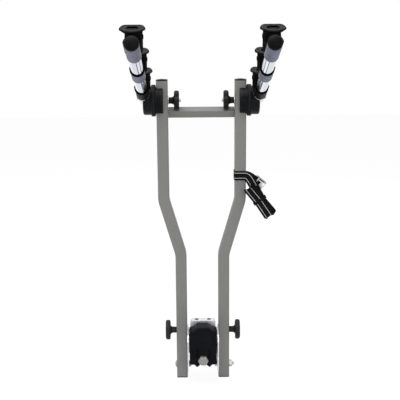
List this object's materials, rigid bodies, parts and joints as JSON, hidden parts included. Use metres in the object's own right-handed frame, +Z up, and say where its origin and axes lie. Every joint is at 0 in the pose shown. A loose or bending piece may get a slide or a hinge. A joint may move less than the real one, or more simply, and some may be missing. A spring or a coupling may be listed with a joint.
{
  "type": "tow-ball bike rack",
  "caption": "Bike rack that clamps on a tow ball: bent square-tube uprights, folding arms on toothed clutch joints, saddle cradles with rubber straps, webbing strap.",
  "frame": {"origin": "centre of the tow ball that the coupling clamps on", "axes": "+Z up along the uprights, +Y towards the vehicle, so the arms reach out towards -Y; X from side to side"},
  "size_m": [0.3777, 0.4636, 0.9718],
  "materials": {
    "grey_paint": "satin warm grey powder coat",
    "black_plastic": "moulded black, satin",
    "friction_lining": "matt lining",
    "rubber": "matt black rubber",
    "zinc": "bright zinc plate",
    "chrome_tube": "polished chrome plate",
    "grey_sleeve": "bluish grey moulded sleeve",
    "cast_steel": "dark cast steel",
    "webbing": "black woven webbing with two pale lines"
  },
  "bodies": {
    "coupling": {"coupling_bracket": "zinc", "clamp_housing": "cast_steel", "coupling_hood": "black_plastic"},
    "clamp_jaw": {"clamp_jaw": "cast_steel"},
    "clamp_bolt": {"clamp_bolt": "zinc"},
    "frame": {"crossbar": "grey_paint", "webbing_strap": "webbing", "hank_tie": "rubber", "buckle_frame": "zinc", "buckle_lever": "zinc", "left_upright": "grey_paint", "left_top_cap": "black_plastic", "left_foot_plug": "black_plastic", "left_joint_base": "black_plastic", "left_friction_disc": "friction_lining", "left_joint_bolt": "zinc", "left_joint_washer": "zinc", "left_pivot_bolt": "zinc", "left_lock_bolt": "zinc", "right_upright": "grey_paint", "right_top_cap": "black_plastic", "right_foot_plug": "black_plastic", "right_joint_base": "black_plastic", "right_friction_disc": "friction_lining", "right_joint_bolt": "zinc", "right_joint_washer": "zinc", "right_pivot_bolt": "zinc", "right_lock_bolt": "zinc"},
    "left_arm": {"left_arm_socket": "black_plastic", "left_arm_tube": "chrome_tube", "left_arm_bolt": "zinc", "left_arm_end_cap": "black_plastic", "left_cradle_sleeve_1": "grey_sleeve", "left_cradle_saddle_1": "black_plastic", "left_cradle_sleeve_2": "grey_sleeve", "left_cradle_saddle_2": "black_plastic", "left_cradle_sleeve_3": "grey_sleeve", "left_cradle_saddle_3": "black_plastic"},
    "left_joint_knob": {"left_joint_knob": "black_plastic"},
    "left_lock_knob": {"left_lock_knob": "black_plastic"},
    "left_rubber_strap_1": {"left_rubber_strap_1": "rubber"},
    "left_rubber_strap_2": {"left_rubber_strap_2": "rubber"},
    "left_rubber_strap_3": {"left_rubber_strap_3": "rubber"},
    "right_arm": {"right_arm_socket": "black_plastic", "right_arm_tube": "chrome_tube", "right_arm_bolt": "zinc", "right_arm_end_cap": "black_plastic", "right_cradle_sleeve_1": "grey_sleeve", "right_cradle_saddle_1": "black_plastic", "right_cradle_sleeve_2": "grey_sleeve", "right_cradle_saddle_2": "black_plastic", "right_cradle_sleeve_3": "grey_sleeve", "right_cradle_saddle_3": "black_plastic"},
    "right_joint_knob": {"right_joint_knob": "black_plastic"},
    "right_lock_knob": {"right_lock_knob": "black_plastic"},
    "right_rubber_strap_1": {"right_rubber_strap_1": "rubber"},
    "right_rubber_strap_2": {"right_rubber_strap_2": "rubber"},
    "right_rubber_strap_3": {"right_rubber_strap_3": "rubber"}
  },
  "joints": [
    {"name": "clamp_bolt_turn", "type": "hinge", "parent": "clamp_jaw", "child": "clamp_bolt", "pos_m": [0, -0.05, 0], "axis": [0, -1, 0], "range_deg": [0, 1800]},
    {"name": "jaw_slide", "type": "slide", "parent": "coupling", "child": "clamp_jaw", "axis": [0, -1, 0], "range_m": [0, 0.01]},
    {"name": "frame_tilt", "type": "hinge", "parent": "coupling", "child": "frame", "pos_m": [0, 0, -0.04], "axis": [1, 0, 0], "range_deg": [0, 30]},
    {"name": "left_arm_fold", "type": "hinge", "parent": "frame", "child": "left_arm", "pos_m": [-0.1482, -0.004, 0.6988], "axis": [1, 0, 0], "range_deg": [-20, 95]},
    {"name": "left_joint_knob_turn", "type": "hinge", "parent": "frame", "child": "left_joint_knob", "pos_m": [-0.075, -0.004, 0.6988], "axis": [1, 0, 0], "continuous": true},
    {"name": "left_lock_knob_turn", "type": "hinge", "parent": "frame", "child": "left_lock_knob", "pos_m": [-0.09, 0, 0.062], "axis": [1, 0, 0], "continuous": true},
    {"name": "left_strap_1_swing", "type": "hinge", "parent": "left_arm", "child": "left_rubber_strap_1", "pos_m": [-0.1276, -0.07282, 0.76196], "axis": [1, 0, 0], "range_deg": [-45, 45]},
    {"name": "left_strap_2_swing", "type": "hinge", "parent": "left_arm", "child": "left_rubber_strap_2", "pos_m": [-0.1276, -0.21267, 0.8162], "axis": [1, 0, 0], "range_deg": [-45, 45]},
    {"name": "left_strap_3_swing", "type": "hinge", "parent": "left_arm", "child": "left_rubber_strap_3", "pos_m": [-0.1276, -0.35251, 0.87045], "axis": [1, 0, 0], "range_deg": [-45, 45]},
    {"name": "right_arm_fold", "type": "hinge", "parent": "frame", "child": "right_arm", "pos_m": [0.1482, -0.004, 0.6988], "axis": [1, 0, 0], "range_deg": [-20, 95]},
    {"name": "right_joint_knob_turn", "type": "hinge", "parent": "frame", "child": "right_joint_knob", "pos_m": [0.075, -0.004, 0.6988], "axis": [1, 0, 0], "continuous": true},
    {"name": "right_lock_knob_turn", "type": "hinge", "parent": "frame", "child": "right_lock_knob", "pos_m": [0.09, 0, 0.062], "axis": [1, 0, 0], "continuous": true},
    {"name": "right_strap_1_swing", "type": "hinge", "parent": "right_arm", "child": "right_rubber_strap_1", "pos_m": [0.1276, -0.07282, 0.76196], "axis": [1, 0, 0], "range_deg": [-45, 45]},
    {"name": "right_strap_2_swing", "type": "hinge", "parent": "right_arm", "child": "right_rubber_strap_2", "pos_m": [0.1276, -0.21267, 0.8162], "axis": [1, 0, 0], "range_deg": [-45, 45]},
    {"name": "right_strap_3_swing", "type": "hinge", "parent": "right_arm", "child": "right_rubber_strap_3", "pos_m": [0.1276, -0.35251, 0.87045], "axis": [1, 0, 0], "range_deg": [-45, 45]}
  ],
  "couplings": [
    {"joint": "clamp_bolt_turn", "follows": "jaw_slide", "rad_per_m": 3141.5}
  ]
}
